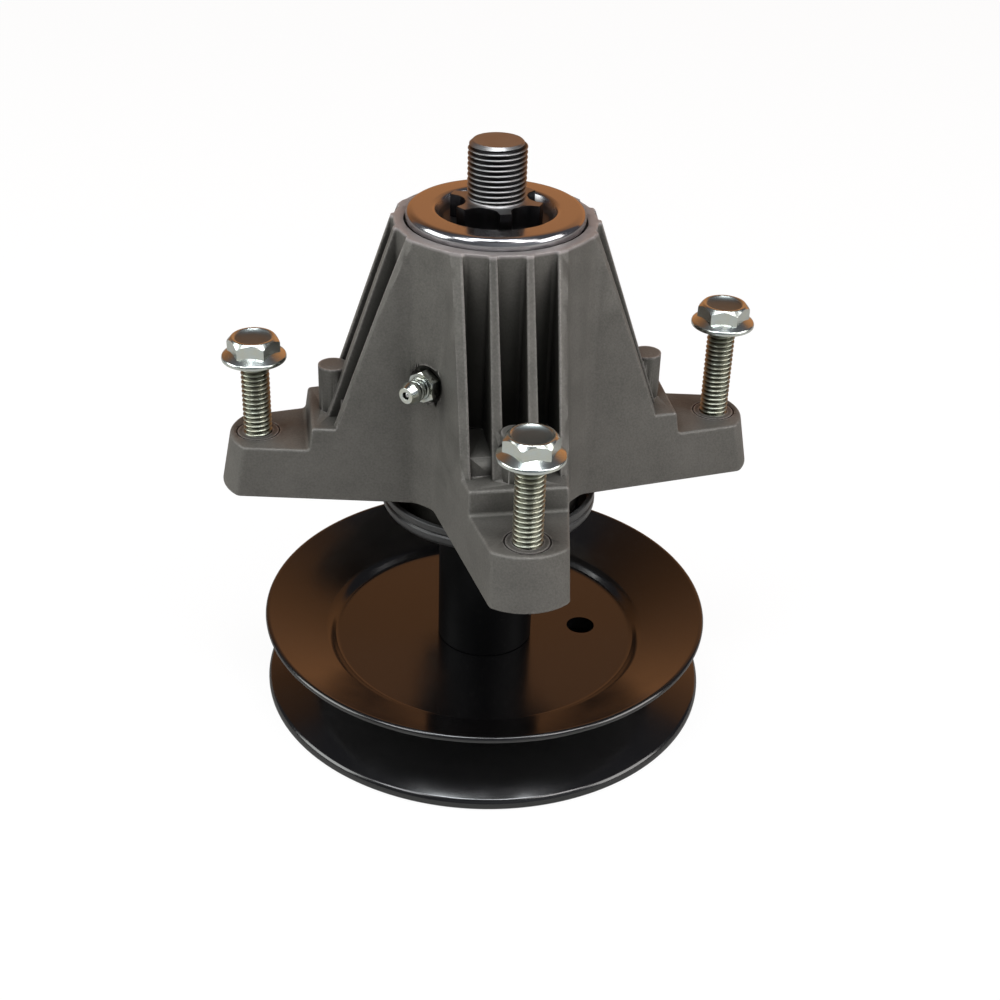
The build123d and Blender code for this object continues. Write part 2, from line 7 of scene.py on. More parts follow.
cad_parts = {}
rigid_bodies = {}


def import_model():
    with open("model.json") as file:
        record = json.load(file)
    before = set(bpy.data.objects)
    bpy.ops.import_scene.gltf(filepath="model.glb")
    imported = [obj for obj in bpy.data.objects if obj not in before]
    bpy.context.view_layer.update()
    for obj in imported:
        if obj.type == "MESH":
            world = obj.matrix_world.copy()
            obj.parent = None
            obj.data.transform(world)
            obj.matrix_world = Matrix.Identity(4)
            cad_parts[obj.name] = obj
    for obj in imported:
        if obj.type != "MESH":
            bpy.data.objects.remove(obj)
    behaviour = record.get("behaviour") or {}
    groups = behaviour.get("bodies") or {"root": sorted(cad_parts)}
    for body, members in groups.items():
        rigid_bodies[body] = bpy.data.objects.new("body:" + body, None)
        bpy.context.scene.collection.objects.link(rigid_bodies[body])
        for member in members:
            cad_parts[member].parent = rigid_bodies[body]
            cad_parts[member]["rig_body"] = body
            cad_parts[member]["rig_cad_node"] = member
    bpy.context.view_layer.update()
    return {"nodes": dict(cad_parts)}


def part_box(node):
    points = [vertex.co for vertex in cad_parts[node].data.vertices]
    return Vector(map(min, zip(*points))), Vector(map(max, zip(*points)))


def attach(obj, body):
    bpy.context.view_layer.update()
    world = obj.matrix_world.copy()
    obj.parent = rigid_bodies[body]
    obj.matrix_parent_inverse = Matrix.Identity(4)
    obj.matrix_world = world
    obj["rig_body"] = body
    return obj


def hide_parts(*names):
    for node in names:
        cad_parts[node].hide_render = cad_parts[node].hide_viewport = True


bl_info = {
    "name": "Mower deck spindle",
    "version": (1, 0, 0),
    "blender": (4, 5, 0),
    "location": "3D View > Sidebar > Spindle",
    "description": "Models and finishes the visible pieces of a mower deck spindle",
    "category": "Object",
}

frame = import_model()

MM = 0.001
# Distance within which vertices are merged
TOUCH = 2e-6
# Radius of the holes that sit on the shaft's journal
SEAT_R = 10.04 * MM
# Height of a deck bolt's head with its flange
BOLT_HEAD = 6.6 * MM
# Height of the treads over the bolt pads
TREAD_RISE = 6.6 * MM
# Each deck bolt: angle of its leg, stand of its flange over the pad in millimetres, turn of its hexagon
BOLTS = ((0, 27.5, 15.6), (90, 24.1, 0.0), (180, 22.5, 21.0), (270, 24.1, -28.7))


def low(node):
    """Lowest height of a CAD node."""
    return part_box(node)[0].z


def high(node):
    """Highest height of a CAD node."""
    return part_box(node)[1].z


def bolt_pad():
    """Height of the bolt pads at the legs' ends."""
    highest_stand = BOLTS[0][1] * MM
    return high("mounting_bolts") - BOLT_HEAD - highest_stand


def length(name, description, millimetres):
    """A size that the user can change."""
    return bpy.props.FloatProperty(
        name=name,
        description=description,
        default=millimetres * MM,
        unit="LENGTH",
        subtype="DISTANCE",
        precision=5,
    )


def colour(name, description, red, green, blue):
    """A colour that the user can change."""
    return bpy.props.FloatVectorProperty(
        name=name,
        description=description,
        default=(red, green, blue, 1.0),
        size=4,
        min=0,
        max=1,
        subtype="COLOR",
    )


class SpindleSizes(bpy.types.PropertyGroup):
    """Sizes of the pieces that Blender makes."""

    pulley_sheet: length("Pulley sheet", "Thickness of the pulley's pressed sheet", 2.0)
    pulley_disc_r: length("Pulley disc radius", "Radius of the flat disc inside the flange", 45.5)
    pulley_bore_r: length("Pulley bore radius", "Radius of the hole for the shaft", 8.0)
    web_hole_r: length("Web hole radius", "Radius of the hole in the disc", 4.3)
    web_hole_circle_r: length("Web hole circle", "Distance of the hole from the axis", 30.2)
    thread_pitch: length("Thread pitch", "Pitch of the stud and bolt threads, 18 to the inch", 1.4111)
    stud_r: length("Stud radius", "Radius over the crests of the blade stud", 7.9375)
    bolt_r: length("Bolt radius", "Radius over the crests of the bolt threads", 3.97)
    star_tip_r: length("Star tip radius", "Radius over the points of the star", 12.7)
    star_root_r: length("Star root radius", "Radius of the valleys between the points", 8.6)
    cap_sheet: length("Cap sheet", "Thickness of the dust cap's sheet", 1.2)


class SpindleColours(bpy.types.PropertyGroup):
    """Colours of the finishes."""

    casting_dark: colour("Casting, dark", "Darker tone of the cast aluminium", 0.118, 0.115, 0.103)
    casting_light: colour("Casting, light", "Lighter tone of the cast aluminium", 0.195, 0.186, 0.168)
    # Real rubbed wear on the casting's edges, and also a painted highlight along them
    casting_wear_and_highlight: colour("Casting, worn and highlit", "Rubbed edges of the casting, with painted highlight", 0.52, 0.48, 0.46)
    casting_machined: colour("Casting, machined", "Faced rim round the dust cap", 0.31, 0.285, 0.275)
    # Painted shade: this colour darkens the slots and recesses of the casting, where shade falls
    casting_recess_shade: colour("Casting, recess", "Painted shade in the slots of the casting", 0.035, 0.033, 0.028)
    black_paint: colour("Black paint", "Gloss black of the pulley", 0.003, 0.003, 0.0033)
    zinc: colour("Zinc", "Bright zinc plate", 0.68, 0.74, 0.72)
    zinc_yellow: colour("Zinc, yellow", "Yellow tint in the zinc plate of the bolts", 0.72, 0.68, 0.50)
    thread_green: colour("Bolt thread, green", "Plated threads of the bolts", 0.38, 0.44, 0.40)
    thread_cream: colour("Bolt thread, cream", "Yellow tint of the bolt threads", 0.50, 0.47, 0.34)
    steel_bright: colour("Steel, bright", "Crests and edges of the shaft", 0.32, 0.325, 0.33)
    # Painted shade: this colour darkens the thread roots and the star's sides
    steel_root_shade: colour("Steel, dark", "Painted shade in the roots and on the star's sides", 0.02, 0.019, 0.02)
    cap_metal: colour("Cap", "Polished plate of the dust cap", 0.50, 0.50, 0.52)


class StageSettings(bpy.types.PropertyGroup):
    """Camera, lamps and surroundings."""

    lens: bpy.props.FloatProperty(
        name="Lens", description="Focal length in millimetres", default=56.335
    )
    camera_place: bpy.props.FloatVectorProperty(
        name="Camera place",
        description="Where the camera stands",
        default=(-0.06204, -0.3948, 0.29723),
        unit="LENGTH",
    )
    camera_turn: bpy.props.FloatVectorProperty(
        name="Camera turn",
        description="Rotation of the camera",
        default=(radians(59.467), radians(-1.619), radians(-8.485)),
        subtype="EULER",
    )
    floor: colour("Floor", "Colour of the floor", 0.42, 0.42, 0.42)
    wall_low: colour("Wall, low", "Warm wall beyond the object, near the floor", 0.62, 0.27, 0.105)
    wall_high: colour("Wall, high", "Warm wall beyond the object, at its top", 0.26, 0.135, 0.075)
    cool_wall: colour("Cool wall", "Wall behind the camera", 0.24, 0.25, 0.27)


# Making the pieces


def start():
    """Leave edit mode with nothing selected."""
    if bpy.context.mode != "OBJECT":
        bpy.ops.object.mode_set(mode="OBJECT")
    bpy.ops.object.select_all(action="DESELECT")


def activate(piece):
    """Select one piece alone."""
    start()
    piece.select_set(True)
    bpy.context.view_layer.objects.active = piece


def select(piece, kind, test):
    """In edit mode, select the vertices, edges or faces that pass a test, and nothing else."""
    bpy.ops.mesh.select_mode(type=kind)
    bpy.ops.mesh.select_all(action="DESELECT")
    mesh = bmesh.from_edit_mesh(piece.data)
    for item in {"VERT": mesh.verts, "EDGE": mesh.edges, "FACE": mesh.faces}[kind]:
        if test(item):
            item.select_set(True)
    mesh.select_flush_mode()
    bmesh.update_edit_mesh(piece.data)


def apply_modifier(piece, kind, **settings):
    """Add a modifier, set it and apply it."""
    activate(piece)
    modifier = piece.modifiers.new(kind.title(), kind)
    for setting, value in settings.items():
        setattr(modifier, setting, value)
    bpy.ops.object.modifier_apply(modifier=modifier.name)


def smooth(piece, angle=40):
    """Smooth shading, with edges sharper than the angle kept."""
    activate(piece)
    bpy.ops.object.shade_smooth_by_angle(angle=radians(angle))
    apply_modifier(piece, "WEIGHTED_NORMAL", keep_sharp=True)


def ease_edges(piece, width, segments=2):
    """Bevel the sharp edges of a piece."""
    apply_modifier(
        piece,
        "BEVEL",
        width=width,
        segments=segments,
        limit_method="ANGLE",
        angle_limit=radians(50),
    )


def tidy_mesh(piece, outwards=True):
    """Merge what touches and turn the faces outwards."""
    activate(piece)
    bpy.ops.object.mode_set(mode="EDIT")
    bpy.ops.mesh.select_all(action="SELECT")
    bpy.ops.mesh.remove_doubles(threshold=TOUCH)
    if outwards:
        bpy.ops.mesh.normals_make_consistent(inside=False)
    bpy.ops.object.mode_set(mode="OBJECT")


def outline_piece(name, corners, closed=True):
    """A wire outline in the XZ plane. A corner is (radius, height) or (radius, height, rounding)."""
    start()
    bpy.ops.mesh.primitive_circle_add(vertices=len(corners), radius=1)
    piece = bpy.context.object
    piece.name = piece.data.name = name
    for vertex, corner in zip(piece.data.vertices, corners):
        vertex.co = (corner[0], 0, corner[1])
    places = [Vector((corner[0], 0, corner[1])) for corner in corners]
    bpy.ops.object.mode_set(mode="EDIT")
    if not closed:
        middle = (places[0] + places[-1]) / 2
        select(
            piece,
            "EDGE",
            lambda edge: ((edge.verts[0].co + edge.verts[1].co) / 2 - middle).length < TOUCH,
        )
        bpy.ops.mesh.delete(type="EDGE")
    for place, corner in zip(places, corners):
        if len(corner) > 2:
            select(piece, "VERT", lambda vertex: (vertex.co - place).length < TOUCH)
            bpy.ops.mesh.bevel(offset=corner[2], segments=4, affect="VERTICES")
    return piece


def spin(piece, steps):
    """Spin an outline about the Z axis, leaving out an edge that lies on it."""
    select(piece, "EDGE", lambda edge: all(abs(vertex.co.x) < TOUCH for vertex in edge.verts))
    bpy.ops.mesh.delete(type="EDGE")
    bpy.ops.mesh.select_mode(type="VERT")
    bpy.ops.mesh.select_all(action="SELECT")
    bpy.ops.mesh.spin(steps=steps, angle=2 * pi, center=(0, 0, 0), axis=(0, 0, 1))
    tidy_mesh(piece)


def turned(name, corners, steps=128):
    """A solid turned piece."""
    piece = outline_piece(name, corners)
    spin(piece, steps)
    return piece


def pressed(name, corners, sheet, edge, steps=160):
    """A turned sheet. The corners run along its upper side, and the sheet lies below them."""
    piece = outline_piece(name, corners, closed=False)
    spin(piece, steps)
    if sum(face.normal.z * face.area for face in piece.data.polygons) < 0:
        bpy.ops.object.mode_set(mode="EDIT")
        bpy.ops.mesh.select_all(action="SELECT")
        bpy.ops.mesh.flip_normals()
        bpy.ops.object.mode_set(mode="OBJECT")
    apply_modifier(piece, "SOLIDIFY", thickness=sheet, offset=-1, use_even_offset=True)
    ease_edges(piece, edge, 3)
    tidy_mesh(piece)
    return piece


def combine(piece, other, operation):
    """Boolean of two pieces. The second piece is used up."""
    apply_modifier(piece, "BOOLEAN", operation=operation, object=other, solver="EXACT")
    bpy.data.objects.remove(other)
    tidy_mesh(piece)


def join(piece, *others):
    """Several closed shells as one piece."""
    activate(piece)
    for other in others:
        other.select_set(True)
    bpy.ops.object.join()
    return piece


def prism(name, corner_r, bottom, top, sides=6, turn=0):
    """An upright prism about the Z axis, with its first corner at an angle."""
    start()
    bpy.ops.mesh.primitive_cylinder_add(
        vertices=sides,
        radius=corner_r,
        depth=top - bottom,
        location=(0, 0, (top + bottom) / 2),
        rotation=(0, 0, turn),
    )
    piece = bpy.context.object
    piece.name = piece.data.name = name
    bpy.ops.object.transform_apply(location=True, rotation=True, scale=True)
    return piece


def place(piece, matrix):
    """Move a piece and keep the move in its mesh."""
    activate(piece)
    piece.matrix_world = matrix
    bpy.ops.object.transform_apply(location=True, rotation=True, scale=True)


def threaded_rod(name, crest_r, pitch, bottom, top, cone_bottom, cone_top, steps=64):
    """A rod with a rolled thread, its crests turned down to a cone at both ends."""
    depth = 0.6 * pitch
    shares = (0.0, 0.10, 0.30, 0.42, 0.50, 0.58, 0.70, 0.90, 1.0)
    heights = (0.0, 0.06, 0.62, 0.95, 1.0, 0.95, 0.62, 0.06, 0.0)
    corners = [
        (crest_r - depth + depth * height, pitch * share)
        for share, height in zip(shares, heights)
    ]
    rod = outline_piece(name, corners, closed=False)
    bpy.ops.object.mode_set(mode="OBJECT")
    # The rod is made at least 1.5 turns longer at each end, and the bisects below cut it to length
    turns = ceil((top - bottom) / pitch) + 3
    apply_modifier(
        rod,
        "SCREW",
        angle=2 * pi,
        screw_offset=pitch,
        iterations=turns,
        steps=steps,
        render_steps=steps,
        axis="Z",
    )
    tidy_mesh(rod, outwards=False)
    place(rod, Matrix.Translation((0, 0, bottom - 1.5 * pitch)))
    bpy.ops.object.mode_set(mode="EDIT")
    for height, side in ((bottom, {"clear_inner": True}), (top, {"clear_outer": True})):
        bpy.ops.mesh.select_all(action="SELECT")
        bpy.ops.mesh.bisect(
            plane_co=(0, 0, height), plane_no=(0, 0, 1), threshold=TOUCH, use_fill=True, **side
        )
    bpy.ops.object.mode_set(mode="OBJECT")
    # The crest attribute, 0 in the roots and 1 on the crests, masks the painted shade in the roots
    crest = rod.data.attributes.new("crest", "FLOAT", "POINT")
    for index, vertex in enumerate(rod.data.vertices):
        radius = hypot(vertex.co.x, vertex.co.y)
        limit = min(
            crest_r - cone_bottom + vertex.co.z - bottom,
            crest_r - cone_top + top - vertex.co.z,
        )
        crest.data[index].value = max(0.0, min(1.0, (radius - crest_r + depth) / depth))
        if radius > limit:
            vertex.co.x *= limit / radius
            vertex.co.y *= limit / radius
            crest.data[index].value = 1.0
    tidy_mesh(rod)
    return rod


def dress(piece, node_names, body, material):
    """Give a finished piece its finish and its place in the frame."""
    piece.data.materials.clear()
    piece.data.materials.append(material)
    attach(piece, body)
    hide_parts(*node_names)


# Finishes


class Value:
    """A number in a material. Arithmetic on it adds Math nodes."""

    def __init__(self, look, socket):
        self.look, self.socket = look, socket

    def math(self, operation, first, second=0.0):
        return self.look.node("Math", {"operation": operation}, first, second)

    def __add__(self, other):
        return self.math("ADD", self, other)

    def __radd__(self, other):
        return self.math("ADD", other, self)

    def __sub__(self, other):
        return self.math("SUBTRACT", self, other)

    def __rsub__(self, other):
        return self.math("SUBTRACT", other, self)

    def __mul__(self, other):
        return self.math("MULTIPLY", self, other)

    def __rmul__(self, other):
        return self.math("MULTIPLY", other, self)


class Look:
    """A material and the nodes that are added to it."""

    def __init__(self, name, **constants):
        self.material = bpy.data.materials.new(name)
        self.material.use_nodes = True
        self.tree = self.material.node_tree
        self.surface = self.tree.nodes["Principled BSDF"]
        self.set(**constants)

    def put(self, socket, value):
        """Link a value to a socket, or set it."""
        if isinstance(value, Value):
            self.tree.links.new(value.socket, socket)
        else:
            socket.default_value = value

    def set(self, **values):
        """Set or link sockets of the surface shader, such as Base_Color."""
        for name, value in values.items():
            self.put(self.surface.inputs[name.replace("_", " ")], value)

    def node(self, kind, settings, *inputs, output=0, **named):
        """Add a node: its settings first, then its sockets in order or by name."""
        node = self.tree.nodes.new("ShaderNode" + kind)
        for name, value in settings.items():
            setattr(node, name, value)
        for socket, value in zip(node.inputs, inputs):
            self.put(socket, value)
        for name, value in named.items():
            self.put(node.inputs[name.replace("_", " ")], value)
        return Value(self, node.outputs[output])

    def place(self):
        """Object coordinates, in metres."""
        return self.node("TexCoord", {}, output="Object")

    def noise(self, feature, detail=3.0, roughness=0.55):
        """Noise from 0 to 1 with features of about a size."""
        return self.node(
            "TexNoise", {}, self.place(), Scale=1 / feature, Detail=detail, Roughness=roughness
        )

    def spread(self, value, lowest, highest, new_low=0.0, new_high=1.0):
        """Map a range of a value to another range, and clamp it."""
        return self.node("MapRange", {}, value, lowest, highest, new_low, new_high)

    def mix(self, factor, first, second):
        """Mix two colours."""
        mixed = self.node("Mix", {"data_type": "RGBA", "clamp_factor": True}, output=2)
        sockets = mixed.socket.node.inputs
        for index, value in ((0, factor), (6, first), (7, second)):
            self.put(sockets[index], value)
        return mixed

    def bump(self, height, distance, strength=1.0):
        """Bump the surface by a height from 0 to 1 times a distance."""
        self.set(Normal=self.node("Bump", {}, Strength=strength, Distance=distance, Height=height))

    def radius(self):
        """Distance from the spindle axis."""
        flat = self.node("VectorMath", {"operation": "MULTIPLY"}, self.place(), (1, 1, 0))
        return self.node("VectorMath", {"operation": "LENGTH"}, flat, output="Value")

    def open_share(self, distance, inside=False):
        """Share of open directions within a distance. Inside, it is low at outward edges."""
        settings = {"inside": inside, "samples": 8}
        return self.node("AmbientOcclusion", settings, Distance=distance, output="AO")

    def rings(self, fineness):
        """Noise that varies only with the distance from the spindle axis."""
        settings = {"noise_dimensions": "1D"}
        return self.node("TexNoise", settings, W=self.radius(), Scale=fineness, Detail=2.0)


def cast_aluminium(colours, machined):
    """Sand-grey casting, mottled, with painted shade in its recesses, rubbed edges that also carry a
    painted highlight, and a machined rim at a height.
    """
    look = Look("cast_aluminium", Metallic=0.5)
    mottle = look.spread(look.noise(11 * MM, 5, 0.62), 0.32, 0.68)
    grain = look.noise(0.55 * MM, 2)
    fine = look.spread(grain, 0.3, 0.7)
    tone = look.mix(mottle * 0.5 + fine * 0.5, colours.casting_dark, colours.casting_light)
    # Painted shade: the casting darkens towards the recess colour where little is open within 14 mm
    openness = look.spread(look.open_share(14 * MM), 0.38, 0.9)
    tone = look.mix(openness, colours.casting_recess_shade, tone)
    height = look.node("SeparateXYZ", {}, look.place(), output="Z")
    faced = look.spread(height, machined - MM, machined - 0.5 * MM)
    tone = look.mix(faced, tone, colours.casting_machined)
    # Rubbed edges: real wear, and also a painted highlight like the light caught by rounded edges
    edge = 1 - look.open_share(MM, inside=True)
    wear_and_highlight = look.spread(edge + look.noise(0.7 * MM, 4) * 0.5, 0.38, 0.75)
    look.set(Base_Color=look.mix(wear_and_highlight * 0.5, tone, colours.casting_wear_and_highlight))
    look.set(Roughness=look.spread(mottle + wear_and_highlight * -0.8, -0.6, 1.0, 0.42, 0.66))
    look.bump(grain * 0.6 + look.noise(2.5 * MM, 2) * 0.8, 0.12 * MM, 0.8)
    return look.material


def gloss_black(colours, name="gloss_black", roughness=0.13, gloss=1.0):
    """Black powder coat with a faint orange peel."""
    look = Look(name, Specular_IOR_Level=gloss)
    dust_tone, rubbed_tone = (0.06, 0.055, 0.05, 1), (0.05, 0.056, 0.062, 1)
    dust = look.spread(look.noise(1.3 * MM, 4), 0.62, 0.8)
    tone = look.mix(dust * 0.15, colours.black_paint, dust_tone)
    edge = look.spread(1 - look.open_share(1.5 * MM, inside=True), 0.62, 0.8)
    look.set(Base_Color=look.mix(edge * look.noise(2 * MM, 3), tone, rubbed_tone))
    look.set(Roughness=look.spread(look.noise(14 * MM, 3), 0.3, 0.7, roughness, roughness + 0.08))
    look.bump(look.noise(2.4 * MM, 1), 0.02 * MM, 0.2)
    return look.material


def bright_zinc(colours, name="bright_zinc", yellow=0.3, roughness=0.2, recess_shade=0.0):
    """Bright zinc plate with a cloudy yellow tint, dull where the dish attribute is 1, with an optional
    painted shade in its recesses.
    """
    look = Look(name, Metallic=1.0)
    dish_tone, recess_shade_tone = (0.20, 0.225, 0.225, 1), (0.05, 0.05, 0.04, 1)
    cloud = look.spread(look.noise(2.2 * MM, 3), 0.4, 0.65)
    dish = look.node("Attribute", {"attribute_name": "dish"}, output="Fac")
    plate = look.mix(cloud * yellow, colours.zinc, colours.zinc_yellow)
    plate = look.mix(dish, plate, dish_tone)
    # Painted shade: the plate darkens towards a dark tone in recesses, where little is open within 3 mm
    shut = look.spread(look.open_share(3 * MM), 0.45, 0.95, recess_shade, 0.0)
    look.set(Base_Color=look.mix(shut, plate, recess_shade_tone))
    haze = look.spread(look.noise(3 * MM, 2), 0.3, 0.7, roughness, roughness + 0.04)
    look.set(Roughness=haze + dish * 0.22)
    return look.material


def threaded_zinc(colours):
    """Zinc plated thread, yellow on the crests, with painted shade in the roots."""
    look = Look("threaded_zinc", Metallic=1.0)
    crest = look.node("Attribute", {"attribute_name": "crest"}, output="Fac")
    root_shade_tone = (0.10, 0.10, 0.075, 1)
    tint = look.mix(look.noise(2 * MM, 2), colours.thread_green, colours.thread_cream)
    # Painted shade: the roots go dark by the crest attribute
    look.set(Base_Color=look.mix(look.spread(crest, 0.15, 0.85), root_shade_tone, tint))
    look.set(Roughness=look.spread(look.noise(0.9 * MM, 2), 0.3, 0.7, 0.3, 0.44))
    look.bump(look.noise(0.5 * MM, 2), 0.02 * MM, 0.4)
    return look.material


def turned_steel(colours):
    """Oiled steel with turning marks, with painted shade in the thread roots and on the star's sides.
    """
    look = Look("turned_steel", Metallic=1.0)
    crest = look.node("Attribute", {"attribute_name": "crest"}, output="Fac")
    smudge_tone = (0.30, 0.27, 0.25, 1)
    rings = look.rings(6000.0)
    smudge = look.spread(look.noise(4 * MM, 3), 0.35, 0.7)
    bright = look.mix(smudge * 0.5, colours.steel_bright, smudge_tone)
    # Painted shade in the roots and on the star's sides, where the crest attribute is low
    look.set(Base_Color=look.mix(look.spread(crest, 0.45, 0.8), colours.steel_root_shade, bright))
    look.set(Roughness=look.spread(rings, 0.3, 0.7, 0.32, 0.44))
    look.bump(rings, 0.01 * MM, 0.3)
    return look.material


def polished_cap(colours):
    """Polished plate with fine turning rings, dull in the bowl, where painted shade darkens it."""
    look = Look("polished_cap", Metallic=1.0)
    smudge_tone, bowl_shade_tone = (0.5, 0.47, 0.45, 1), (0.09, 0.085, 0.085, 1)
    rings = look.rings(3500.0)
    smudge = look.spread(look.noise(5 * MM, 4), 0.4, 0.75)
    bright = look.mix(smudge * 0.3, colours.cap_metal, smudge_tone)
    ring = look.spread(look.radius(), 15.2 * MM, 16.6 * MM)
    # Painted shade: the bowl inside 15.2 mm is darkened
    look.set(Base_Color=look.mix(ring, bowl_shade_tone, bright))
    haze = look.spread(rings * 0.5 + smudge * 0.5, 0.2, 0.8, 0.14, 0.24)
    look.set(Roughness=haze + (1 - ring) * 0.25)
    look.bump(rings, 0.006 * MM, 0.25)
    return look.material


def plain_steel(name, tone, roughness):
    """Ground or drawn steel of a hidden piece."""
    look = Look(name, Metallic=1.0)
    grain = look.noise(0.8 * MM, 3)
    dull = 0.8 * tone
    look.set(Base_Color=look.mix(grain, (dull, dull, dull, 1), (tone, tone, tone, 1)))
    look.set(Roughness=look.spread(grain, 0.3, 0.7, roughness, roughness + 0.12))
    return look.material


def moulded_rubber():
    """Black seal rubber."""
    look = Look("moulded_rubber")
    grain = look.noise(0.6 * MM, 3)
    look.set(Base_Color=look.mix(grain, (0.015, 0.015, 0.015, 1), (0.035, 0.035, 0.036, 1)))
    look.set(Roughness=look.spread(grain, 0.3, 0.7, 0.55, 0.7))
    look.bump(grain, 0.03 * MM, 0.5)
    return look.material


def satin_black():
    """Satin black finish of the dust shield."""
    look = Look("shield_black", Specular_IOR_Level=0.5)
    mottle = look.noise(3 * MM, 4)
    look.set(Base_Color=look.mix(mottle, (0.03, 0.031, 0.031, 1), (0.055, 0.055, 0.054, 1)))
    look.set(Roughness=look.spread(mottle, 0.3, 0.7, 0.28, 0.42))
    look.bump(look.noise(0.9 * MM, 2), 0.03 * MM, 0.4)
    return look.material


# Operators, one for each piece or group of like pieces


class SPINDLE_OT_housing(bpy.types.Operator):
    """Smooth the housing casting and give it its cast finish"""

    bl_idname = "spindle.housing"
    bl_label = "Housing Casting"

    def execute(self, context):
        start()
        node = frame["nodes"]["spindle_housing"]
        node.select_set(True)
        context.view_layer.objects.active = node
        bpy.ops.object.duplicate()
        casting = context.object
        casting.name = casting.data.name = "housing_casting"
        casting.parent = None
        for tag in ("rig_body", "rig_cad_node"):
            del casting[tag]
        tidy_mesh(casting, outwards=False)
        self.round_posts(casting)
        smooth(casting, 22)
        material = cast_aluminium(context.scene.spindle_colours, high("spindle_housing"))
        dress(casting, ["spindle_housing"], "housing", material)
        return {"FINISHED"}

    def round_posts(self, casting):
        """Round the posts on the treads, whose sides are coarse in the CAD mesh."""
        tread = bolt_pad() + TREAD_RISE
        circle_r, post_r = 44.6 * MM, 4.16 * MM
        sunk, height = 0.4 * MM, 13.2 * MM
        posts = []
        for angle, _, _ in BOLTS:
            post = prism("post", post_r, tread - sunk, tread + height, 48)
            turn = radians(angle)
            place(post, Matrix.Translation((circle_r * cos(turn), circle_r * sin(turn), 0)))
            posts.append(post)
        posts = join(*posts)
        ease_edges(posts, 0.2 * MM)
        apply_modifier(casting, "BOOLEAN", operation="UNION", object=posts, solver="EXACT")
        bpy.data.objects.remove(posts)
        tidy_mesh(casting, outwards=False)


class SPINDLE_OT_pulley(bpy.types.Operator):
    """Press the two halves of the pulley"""

    bl_idname = "spindle.pulley"
    bl_label = "Pulley Halves"

    def execute(self, context):
        sizes = context.scene.spindle_sizes
        material = gloss_black(context.scene.spindle_colours)
        middle = low("pulley_upper_half")
        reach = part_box("pulley_upper_half")[1].x
        slope = radians(28)
        rim_r = reach - sizes.pulley_sheet * sin(slope)
        disc_top = middle + sizes.pulley_sheet
        rim_z = disc_top + (rim_r - sizes.pulley_disc_r) * tan(slope)
        step_r, step_z = sizes.pulley_disc_r + 2.3 * MM, disc_top + 2.35 * MM
        # The bevel of the rim's corners takes off some of its reach, so they stand out a little
        ease = 0.45 * sizes.pulley_sheet
        rim_out, rim_up = 0.4 * ease * cos(slope), 0.4 * ease * sin(slope)
        under_disc_r = sizes.pulley_disc_r + sizes.pulley_sheet * tan(slope / 2)
        upper_rim = [
            (rim_r + rim_out, rim_z + rim_up, ease),
            (reach + rim_out, rim_z - sizes.pulley_sheet * cos(slope) + rim_up, ease),
        ]
        lip, lip_width, lip_edge = 0.8 * MM, 3.0 * MM, 0.3 * MM
        lower_rim = [
            (reach - lip, rim_z, lip_edge),
            (reach, rim_z - lip, lip_edge),
            (reach, rim_z - lip_width, 1.2 * MM),
        ]
        hole_turn = radians(-2.3)
        hole = Vector((cos(hole_turn), sin(hole_turn), 0)) * sizes.web_hole_circle_r
        for name, node, rim, mirrored in (
            ("pulley_upper_pressing", "pulley_upper_half", upper_rim, False),
            ("pulley_lower_pressing", "pulley_lower_half", lower_rim, True),
        ):
            corners = [
                (sizes.pulley_bore_r, disc_top),
                (sizes.pulley_disc_r, disc_top, 0.8 * MM),
                (step_r, step_z, 1.3 * MM),
                *rim,
                (under_disc_r, middle, 1.2 * MM),
                (sizes.pulley_bore_r, middle),
            ]
            half = turned(name, corners, 192)
            punch = prism("punch", sizes.web_hole_r, middle - MM, disc_top + MM, 48)
            place(punch, Matrix.Translation(hole))
            combine(half, punch, "DIFFERENCE")
            if mirrored:
                mirror = Matrix.Scale(-1, 4, (0, 0, 1))
                place(half, Matrix.Translation((0, 0, 2 * middle)) @ mirror)
                tidy_mesh(half)
            smooth(half)
            dress(half, [node], "rotor", material)
        return {"FINISHED"}


class SPINDLE_OT_hub(bpy.types.Operator):
    """Turn the hub tube"""

    bl_idname = "spindle.hub"
    bl_label = "Hub Tube"

    def execute(self, context):
        bottom, top = low("pulley_hub_tube"), high("pulley_hub_tube")
        outer_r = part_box("pulley_hub_tube")[1].x
        edge = 0.4 * MM
        corners = [(SEAT_R, bottom), (outer_r, bottom, edge), (outer_r, top, edge), (SEAT_R, top)]
        tube = turned("hub_tube", corners)
        smooth(tube)
        material = gloss_black(context.scene.spindle_colours, "hub_black", 0.42, 0.15)
        dress(tube, ["pulley_hub_tube"], "rotor", material)
        return {"FINISHED"}


class SPINDLE_OT_shield(bpy.types.Operator):
    """Turn the dust shield under the housing"""

    bl_idname = "spindle.shield"
    bl_label = "Dust Shield"

    def execute(self, context):
        bottom, top = low("pulley_side_dust_shield"), high("pulley_side_dust_shield")
        outer_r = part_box("pulley_side_dust_shield")[1].x
        sheet, edge = 1.5 * MM, 0.35 * MM
        groove, groove_deep = bottom + 3.6 * MM, 0.6 * MM
        collar_top = bottom + 3.0 * MM
        corners = [
            (SEAT_R, bottom),
            (outer_r, bottom, 1.8 * MM),
            (outer_r, groove - groove_deep, 0.25 * MM),
            (outer_r - groove_deep, groove, 0.2 * MM),
            (outer_r, groove + groove_deep, 0.25 * MM),
            (outer_r, top, edge),
            (outer_r - sheet, top, edge),
            (outer_r - sheet, bottom + sheet, 1.0 * MM),
            (14.4 * MM, bottom + sheet, 0.5 * MM),
            (12.9 * MM, collar_top),
            (SEAT_R, collar_top),
        ]
        shield = turned("dust_shield", corners)
        smooth(shield)
        dress(shield, ["pulley_side_dust_shield"], "rotor", satin_black())
        return {"FINISHED"}


